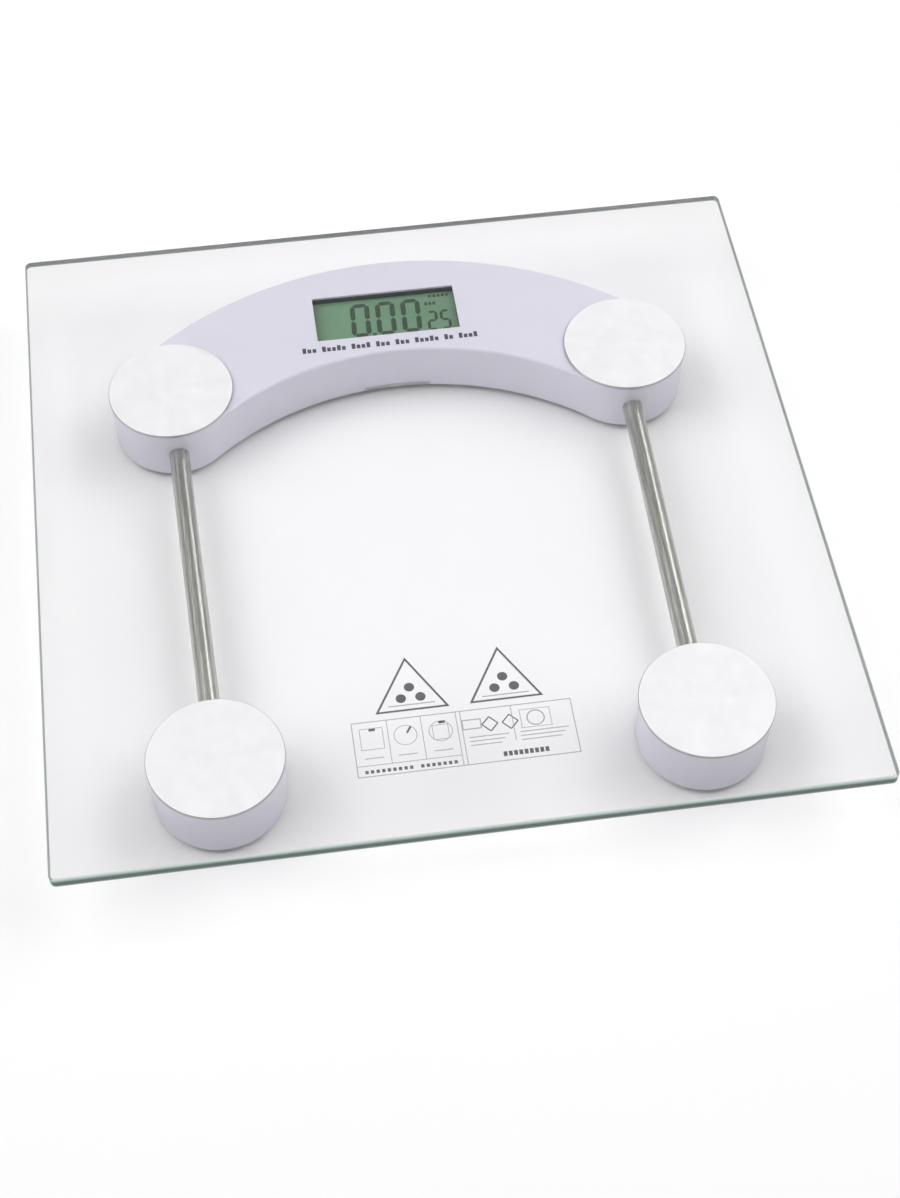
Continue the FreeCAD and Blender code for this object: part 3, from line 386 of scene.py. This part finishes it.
def circuit_board():
    """Green lacquer over copper tracks."""
    board = Shader("solder_mask", (0.02, 0.12, 0.05), 0.3, Coat_Weight=0.4)
    tracks = board.bands(2.6 * MM, "DIAGONAL")
    board.tint(tracks, (0.012, 0.085, 0.035), (0.025, 0.15, 0.065))
    board.rough(board.noise(1.2 * MM), 0.25, 0.4)
    return board.bump(tracks, 0.02 * MM, 0.3)


def soft_sealant():
    """Pale, slightly lumpy sealant."""
    seal = Shader("gauge_sealant", (0.82, 0.82, 0.79), 0.5, Subsurface_Weight=0.1)
    seal.tint(seal.noise(3 * MM), (0.78, 0.78, 0.74), (0.86, 0.86, 0.84))
    return seal.bump(seal.noise(1.6 * MM, 2), 0.2 * MM, 0.5)


def wire_sleeve():
    """Dark grey plastic sleeve with a fine grain."""
    sleeve = Shader("wire_sleeve", (0.22, 0.22, 0.23), 0.5)
    sleeve.tint(sleeve.noise(4 * MM), (0.18, 0.18, 0.19), (0.27, 0.27, 0.28))
    return sleeve.bump(sleeve.noise(0.5 * MM), 0.02 * MM, 0.4)


def striped_rubber():
    """Contact rubber in thin dark and pale layers."""
    strip = Shader("contact_rubber", (0.05, 0.05, 0.055), 0.6)
    layers = strip.bands(0.4 * MM, "X")
    strip.tint(layers, (0.03, 0.03, 0.03), (0.45, 0.38, 0.42))
    return strip.bump(layers, 0.01 * MM, 0.3)


def bead_glass():
    """The brown glass bead of a temperature sensor."""
    bead = Shader("sensor_bead", (0.12, 0.05, 0.02), 0.15, Coat_Weight=0.6)
    bead.tint(bead.noise(1 * MM), (0.09, 0.035, 0.012), (0.16, 0.07, 0.03))
    return bead


SLOT_LOOKS = {
    "glass": platform_glass(),
    "adhesive": glue(),
    "shell_silver": silver_paint(),
    "cover_grey": moulded("cover_plastic", (0.42, 0.42, 0.45), (0.48, 0.48, 0.51)),
    "carrier_grey": moulded("carrier_plastic", (0.40, 0.40, 0.43), (0.46, 0.46, 0.49), 0.6),
    "foot_grey": moulded("foot_plastic", (0.20, 0.20, 0.215), (0.25, 0.25, 0.265), 0.5),
    "pad_rubber": pad_rubber(),
    "cell_steel": plated("cell_steel", (0.48, 0.48, 0.47), (0.6, 0.6, 0.59)),
    "gauge_coat": soft_sealant(),
    "tube_steel": tube_steel(),
    "wire_sleeve": wire_sleeve(),
    "screw_steel": plated("screw_steel", (0.5, 0.5, 0.5), (0.64, 0.64, 0.62)),
    "lens_clear": clear_lens(),
    "lcd": lcd_ground(),
    "frame_black": moulded("frame_plastic", (0.025, 0.025, 0.027), (0.04, 0.04, 0.042), 0.5),
    "contact_rubber": striped_rubber(),
    "board": circuit_board(),
    "chip_black": moulded("chip_resin", (0.018, 0.018, 0.019), (0.03, 0.03, 0.032), 0.45, 0.2),
    "sensor_bead": bead_glass(),
    "coin_steel": plated("coin_steel", (0.62, 0.62, 0.6), (0.72, 0.72, 0.7), 0.2, 0.32),
    "contact_brass": plated("contact_brass", (0.62, 0.5, 0.26), (0.72, 0.6, 0.34)),
    "button_grey": moulded("button_plastic", (0.1, 0.1, 0.105), (0.14, 0.14, 0.145), 0.5),
}


GLUE_INSET = 0.02 * MM


def dress_cad_nodes():
    """Give every CAD node the look of its slot; each cap disc has a look of its own."""
    for entry in frame["record"]["subparts"]:
        node = NODES[entry["node"]]
        node.data.materials.clear()
        slot = entry["material_slot"]
        shader = satin_disc(entry["node"]) if slot == "disc_metal" else SLOT_LOOKS[slot]
        node.data.materials.append(shader.material)
    # the glue film touches the discs and the glass, so it is drawn in by a hair
    shrink = NODES["adhesive_discs"].modifiers.new("film_gap", "DISPLACE")
    shrink.mid_level = 0
    shrink.strength = -GLUE_INSET


# ---------------------------------------------------------------- thin printed pieces

PRINT_THICK = 0.02 * MM
CIRCLE_POINTS = 28


def block(x, y, width, depth):
    """A rectangle's corners round its centre, in millimetres."""
    return [(x + side * width / 2, y + end * depth / 2)
            for side, end in ((-1, -1), (1, -1), (1, 1), (-1, 1))]


def circle(x, y, radius):
    """Points on a circle, in millimetres."""
    turns = [2 * math.pi * step / CIRCLE_POINTS for step in range(CIRCLE_POINTS)]
    return [(x + radius * math.cos(turn), y + radius * math.sin(turn)) for turn in turns]


class Print:
    """Flat shapes at one height, gathered into one thin piece. Places and sizes are in millimetres."""

    def __init__(self, low):
        self.mesh = bmesh.new()
        self.low = low
        self.high = low + PRINT_THICK

    def corners(self, outline, height):
        return [self.mesh.verts.new((x * MM, y * MM, height)) for x, y in outline]

    def walls(self, first, second):
        """Faces between two rings with the same number of corners."""
        for index in range(len(first)):
            after = (index + 1) % len(first)
            self.mesh.faces.new((first[index], first[after], second[after], second[index]))

    def patch(self, outline):
        """A filled shape."""
        floor = self.corners(outline, self.low)
        roof = self.corners(outline, self.high)
        self.mesh.faces.new(list(reversed(floor)))
        self.mesh.faces.new(roof)
        self.walls(floor, roof)

    def border(self, outer, inner):
        """The line between two outlines with the same number of points."""
        rings = [self.corners(outer, self.low), self.corners(outer, self.high),
                 self.corners(inner, self.high), self.corners(inner, self.low)]
        for first, second in zip(rings, rings[1:] + rings[:1]):
            self.walls(first, second)

    def box(self, x, y, width, depth, line):
        self.border(block(x, y, width, depth), block(x, y, width - 2 * line, depth - 2 * line))

    def ring(self, x, y, radius, line):
        self.border(circle(x, y, radius), circle(x, y, radius - line))

    def triangle(self, x, low_y, width, tall, line):
        """A triangle's outline of even line width, standing on its low side."""
        corners = [Vector((x - width / 2, low_y)), Vector((x + width / 2, low_y)), Vector((x, low_y + tall))]
        side = math.hypot(width / 2, tall)
        inradius = width * tall / (width + 2 * side)
        centre = Vector((x, low_y + inradius))
        self.border(corners, [centre + (spot - centre) * (1 - line / inradius) for spot in corners])

    def bar(self, start, end, width):
        """A straight bar with square ends between two points."""
        start, end = Vector(start), Vector(end)
        along = (end - start).normalized()
        side = Vector((-along.y, along.x)) * width / 2
        self.patch([start - side, end - side, end + side, start + side])

    def rule(self, left, right, y, width):
        """A bar from left to right."""
        self.bar((left, y), (right, y), width)

    def post(self, x, front, back, width):
        """A bar from front to back."""
        self.bar((x, front), (x, back), width)

    def dashes(self, left, y, pitch, width, depth, count, blank=None):
        """A row of small blocks, less the blank one."""
        for step in range(count):
            if step != blank:
                self.patch(block(left + pitch * step, y, width, depth))

    def finish(self, name, shader):
        """Turn the shapes into a piece that rides on the platform."""
        bmesh.ops.recalc_face_normals(self.mesh, faces=self.mesh.faces)
        data = bpy.data.meshes.new(name)
        self.mesh.to_mesh(data)
        self.mesh.free()
        data.materials.append(shader.material)
        piece = bpy.data.objects.new(name, data)
        bpy.context.scene.collection.objects.link(piece)
        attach(piece, BASE_BODY)


# ---------------------------------------------------------------- the display's figures

SEGMENTS = {"0": "abcdef", "2": "abged", "5": "afgcd"}
SEGMENT_GAP = 0.14
SLANT = 0.04

LARGE_DIGIT = (8.2, 19.0, 2.1)          # width, height and stroke
LARGE_LEFT = -10.6                      # from the window's middle, as all of these are
LARGE_PITCH = 10.7
LARGE_Y = 0.2

SMALL_DIGIT = (4.5, 11.2, 1.25)
SMALL_LEFT = 19.4
SMALL_PITCH = 5.5
SMALL_Y = -3.9


def digit_segments(width, height, stroke):
    """The seven segments of a digit centred on the origin, as six-cornered outlines."""
    half_w, half_h, half_s = width / 2 - stroke / 2, height / 2 - stroke / 2, stroke / 2

    def level(y):
        reach = half_w - SEGMENT_GAP
        return [(-reach, y), (-reach + half_s, y + half_s), (reach - half_s, y + half_s), (reach, y),
                (reach - half_s, y - half_s), (-reach + half_s, y - half_s)]

    def tall(x, low, high):
        low, high = low + SEGMENT_GAP, high - SEGMENT_GAP
        return [(x, low), (x + half_s, low + half_s), (x + half_s, high - half_s), (x, high),
                (x - half_s, high - half_s), (x - half_s, low + half_s)]

    return {"a": level(half_h), "g": level(0), "d": level(-half_h),
            "b": tall(half_w, 0, half_h), "c": tall(half_w, -half_h, 0),
            "f": tall(-half_w, 0, half_h), "e": tall(-half_w, -half_h, 0)}


def write_digit(figures, figure, x, y, size):
    """One slightly slanted seven-segment digit round (x, y)."""
    shapes = digit_segments(*size)
    for letter in SEGMENTS[figure]:
        figures.patch([(x + px + SLANT * py, y + py) for px, py in shapes[letter]])


def display_figures():
    """Three large digits, two small ones, a point and small unit marks, on the panel under its lens."""
    figures = Print(LCD_HIGH.z + 0.5 * PRINT_THICK)
    across = (LENS_LOW.x + LENS_HIGH.x) / 2 / MM
    middle = (LENS_LOW.y + LENS_HIGH.y) / 2 / MM
    for step, figure in enumerate("000"):
        write_digit(figures, figure, across + LARGE_LEFT + LARGE_PITCH * step, middle + LARGE_Y, LARGE_DIGIT)
    for step, figure in enumerate("25"):
        write_digit(figures, figure, across + SMALL_LEFT + SMALL_PITCH * step, middle + SMALL_Y, SMALL_DIGIT)
    point_x, point_y = across - 5.6, middle + LARGE_Y - 8.7
    figures.patch(block(point_x, point_y, 1.8, 1.6))
    figures.dashes(across + 17.8, middle + 6.0, 1.7, 1.2, 1.8, count=3)
    figures.dashes(across + 20.0, middle + 10.2, 1.8, 1.2, 1.5, count=5)
    figures.finish("display_figures", lcd_segment())


MARK_GROUPS = (3, 5, 4, 3, 3, 5, 2, 4)  # how many dashes stand together
MARKS_LEFT = -37.8
MARK_WIDTH = 1.5
MARK_PITCH = 2.06
MARK_TALL = 2.9                         # every third dash
MARK_SHORT = 2.1
GROUP_GAP = 1.95
MARKS_OFF = 3.2                         # from the window's front edge


def capacity_marks():
    """A row of plain printed dashes on the arch, just in front of the display."""
    marks = Print(ARCH_HIGH.z)
    row_y = LENS_LOW.y / MM - MARKS_OFF
    x = MARKS_LEFT
    for count in MARK_GROUPS:
        for step in range(count):
            tall = MARK_TALL if step % 3 == 0 else MARK_SHORT
            marks.patch(block(x, row_y + (tall - MARK_SHORT) / 2, MARK_WIDTH, tall))
            x += MARK_PITCH
        x += GROUP_GAP
    ink = printed_ink("arch_ink", (0.02, 0.022, 0.035), (0.06, 0.06, 0.085))
    marks.finish("capacity_marks", ink)


# ---------------------------------------------------------------- the print under the glass

UNDER_GLASS = GLASS_LOW.z - 1.5 * PRINT_THICK

TRIANGLE_X = 17.25                      # either side of the middle
TRIANGLE_LOW = -96.2
TRIANGLE_WIDTH = 27.2
TRIANGLE_TALL = 23.6
TRIANGLE_LINE = 0.8
DOT_RAD = 1.9
DOT_STEP = 3.6
DOT_LOW = -90.6
DOT_RISE = 4.6

PANEL_Y = -110.6
PANEL_WIDTH = 80.6
PANEL_DEPTH = 23.4
PANEL_LINE = 0.4
PANEL_LEFT = PANEL_LINE - PANEL_WIDTH / 2
PANEL_FRONT = PANEL_Y - PANEL_DEPTH / 2 + PANEL_LINE
PANEL_BACK = PANEL_Y + PANEL_DEPTH / 2 - PANEL_LINE
DIVIDER_X = -2.2                        # between the panel's two halves
HAIRLINE = 0.32
THIN_LINE = 0.3
CAPTION_LINE = 0.42

SHAPE_XS = (-33.4, -21.2, -8.4)         # the three shapes of the left half
SHAPE_Y = -106.4
CAPTION_Y = -114.6
TITLE_RULE_Y = -117.6
DIAMOND_XS = (9.6, 17.0)
DIAMOND_Y = -105.9
DIAMOND_WIDE = 2.9
DIAMOND_HIGH = 3.1
BADGE_X = 26.4                          # the circle in a frame, at the right
BADGE_Y = -105.4


def dotted_triangles(ink):
    """Two triangle outlines, each with three dots."""
    for x in (-TRIANGLE_X, TRIANGLE_X):
        ink.triangle(x, TRIANGLE_LOW, TRIANGLE_WIDTH, TRIANGLE_TALL, TRIANGLE_LINE)
        for side, rise in ((-1, 0), (0, DOT_RISE), (1, 0)):
            ink.patch(circle(x + DOT_STEP * side, DOT_LOW + rise, DOT_RAD))


def diamonds(ink):
    for x in DIAMOND_XS:
        corners = [(x - DIAMOND_WIDE, DIAMOND_Y), (x, DIAMOND_Y - DIAMOND_HIGH),
                   (x + DIAMOND_WIDE, DIAMOND_Y), (x, DIAMOND_Y + DIAMOND_HIGH)]
        for start, end in zip(corners, corners[1:] + corners[:1]):
            ink.bar(start, end, 0.5)


def panel_accents(ink):
    """Small dark marks on the three shapes, and the rows of dashes below the panel's halves."""
    for x in (-33.0, -7.6):
        ink.patch(block(x, -102.6, 2.4, 1.1))
    ink.bar((-20.6, -105.6), (-18.8, -102.8), 0.8)
    ink.dashes(13.2, -119.3, 1.9, 1.35, 2.0, count=9)
    ink.dashes(-36.8, -120.2, 2.0, 1.2, 1.4, count=17, blank=9)


def panel_rules(ink):
    """The panel's border and the rules that divide it."""
    ink.box(0.0, PANEL_Y, PANEL_WIDTH, PANEL_DEPTH, PANEL_LINE)
    for x, front in ((-27.4, -117.4), (-15.0, -117.4), (18.0, -114.0)):
        ink.post(x, front, PANEL_BACK, HAIRLINE)
    for x in (DIVIDER_X, -0.6):
        ink.post(x, PANEL_FRONT, PANEL_BACK, 0.34)
    ink.rule(PANEL_LEFT, DIVIDER_X, TITLE_RULE_Y, HAIRLINE)


def panel_shapes(ink):
    """Plain squares and circles."""
    left, middle, right = SHAPE_XS
    ink.box(left, SHAPE_Y, 8.6, 9.2, THIN_LINE)
    ink.ring(middle, SHAPE_Y, 4.3, THIN_LINE)
    ink.ring(right, SHAPE_Y, 4.4, THIN_LINE)
    ink.box(right, SHAPE_Y - 0.4, 6.0, 6.4, 0.28)
    ink.box(3.0, -105.2, 7.2, 4.4, 0.5)
    ink.ring(BADGE_X, BADGE_Y, 3.4, 0.55)
    ink.box(BADGE_X, BADGE_Y, 11.2, 8.0, 0.28)


def caption_bars(ink):
    """Plain bars where small print would be."""
    for row in range(3):
        for left, right in ((1.4, 15.8), (20.0, 37.6)):
            ink.rule(left, right - 1.5 * row, -110.8 - 1.7 * row, CAPTION_LINE)
    for x in SHAPE_XS:
        ink.rule(x - 3.4, x + 3.4, CAPTION_Y, CAPTION_LINE)
    for x, y in ((-TRIANGLE_X, -93.6), (TRIANGLE_X, -93.9)):
        ink.rule(x - 8.6, x + 8.6, y, 0.5)


def platform_print():
    """Two plain triangles and a ruled panel of plain shapes, printed under the glass."""
    dark = Print(UNDER_GLASS)
    dotted_triangles(dark)
    diamonds(dark)
    panel_accents(dark)
    dark_ink = printed_ink("glass_ink_dark", (0.05, 0.05, 0.055), (0.13, 0.13, 0.135))
    dark.finish("print_dark", dark_ink)

    pale = Print(UNDER_GLASS)
    panel_rules(pale)
    panel_shapes(pale)
    caption_bars(pale)
    pale_ink = printed_ink("glass_ink_pale", (0.33, 0.33, 0.335), (0.5, 0.5, 0.5))
    pale.finish("print_pale", pale_ink)


# ---------------------------------------------------------------- stage, light and camera

FLOOR_SIZE = 14
FLOOR_DROP = 0.02 * MM
AIM = (0, 0, 0.02)

# each lamp's place, the side of its square and its power in watts
LAMPS = {
    "key_left": ((-1.5, 0.2, 1.9), 1.6, 33),
    "key_right": ((1.5, 0.2, 1.9), 1.6, 30),
    "streak": ((1.15, 1.25, 1.5), 0.45, 4),
}

# the studio's glow rises from the dim one to the bright one between two heights of gaze
GLOW_DIM = 0.07
GLOW_BRIGHT = 0.38
GAZE_LOW = 0.02
GAZE_HIGH = 0.72

CAMERA_X = -0.068
CAMERA_Y = -0.523
CAMERA_RISE = 0.646         # above the glass
CAMERA_LENS = 64.4
SENSOR_WIDTH = 36
HEADING = math.radians(-8.55)
DIP = math.radians(36.48)
LEAN = math.radians(0.4)


def stage():
    """A large white floor, just under the rubber pads."""
    bpy.ops.mesh.primitive_plane_add(size=FLOOR_SIZE, location=(0, 0, -FLOOR_DROP))
    floor = bpy.context.object
    floor.name = "stage_floor"
    white = Shader("stage_white", (0.9, 0.9, 0.9), 0.9, Specular_IOR_Level=0.0)
    white.tint(white.noise(0.4, 2), (0.895, 0.895, 0.895), (0.905, 0.905, 0.905))
    floor.data.materials.append(white.material)


def area_light(name, spot, side, power):
    """A square lamp that faces the scale."""
    data = bpy.data.lights.new(name, "AREA")
    data.shape = "RECTANGLE"
    data.size = side
    data.size_y = side
    data.energy = power
    lamp = bpy.data.objects.new(name, data)
    lamp.location = spot
    lamp.rotation_euler = (Vector(AIM) - Vector(spot)).to_track_quat("-Z", "Y").to_euler()
    bpy.context.scene.collection.objects.link(lamp)


def sky():
    """A pale studio that is brightest overhead and dims towards its walls."""
    world = bpy.data.worlds.new("studio")
    bpy.context.scene.world = world
    world.use_nodes = True
    tree = world.node_tree
    white = tree.nodes["Background"]
    white.inputs["Color"].default_value = (1, 1, 1, 1)
    facing = tree.nodes.new("ShaderNodeTexCoord").outputs["Generated"]
    gaze = tree.nodes.new("ShaderNodeSeparateXYZ")
    tree.links.new(facing, gaze.inputs[0])
    glow = tree.nodes.new("ShaderNodeMapRange")
    glow.interpolation_type = "SMOOTHSTEP"
    glow.inputs["From Min"].default_value = GAZE_LOW
    glow.inputs["From Max"].default_value = GAZE_HIGH
    glow.inputs["To Min"].default_value = GLOW_DIM
    glow.inputs["To Max"].default_value = GLOW_BRIGHT
    tree.links.new(gaze.outputs["Z"], glow.inputs["Value"])
    tree.links.new(glow.outputs[0], white.inputs["Strength"])


def lights():
    """The studio's glow and its lamps."""
    sky()
    for name, (spot, side, power) in LAMPS.items():
        area_light(name, spot, side, power)


def camera():
    """Above and in front of the scale, a little to its left, looking down on the display."""
    data = bpy.data.cameras.new("camera")
    data.lens = CAMERA_LENS
    data.sensor_width = SENSOR_WIDTH
    data.clip_start, data.clip_end = 0.02, 50
    eye = bpy.data.objects.new("camera", data)
    spot = Matrix.Translation((CAMERA_X, CAMERA_Y, GLASS_HIGH.z + CAMERA_RISE))
    turn = Matrix.Rotation(HEADING, 4, "Z") @ Matrix.Rotation(DIP, 4, "X") @ Matrix.Rotation(LEAN, 4, "Z")
    eye.matrix_world = spot @ turn
    bpy.context.scene.collection.objects.link(eye)
    bpy.context.scene.camera = eye
    bpy.context.scene.view_settings.view_transform = "Standard"


dress_cad_nodes()
display_figures()
capacity_marks()
platform_print()
stage()
lights()
camera()
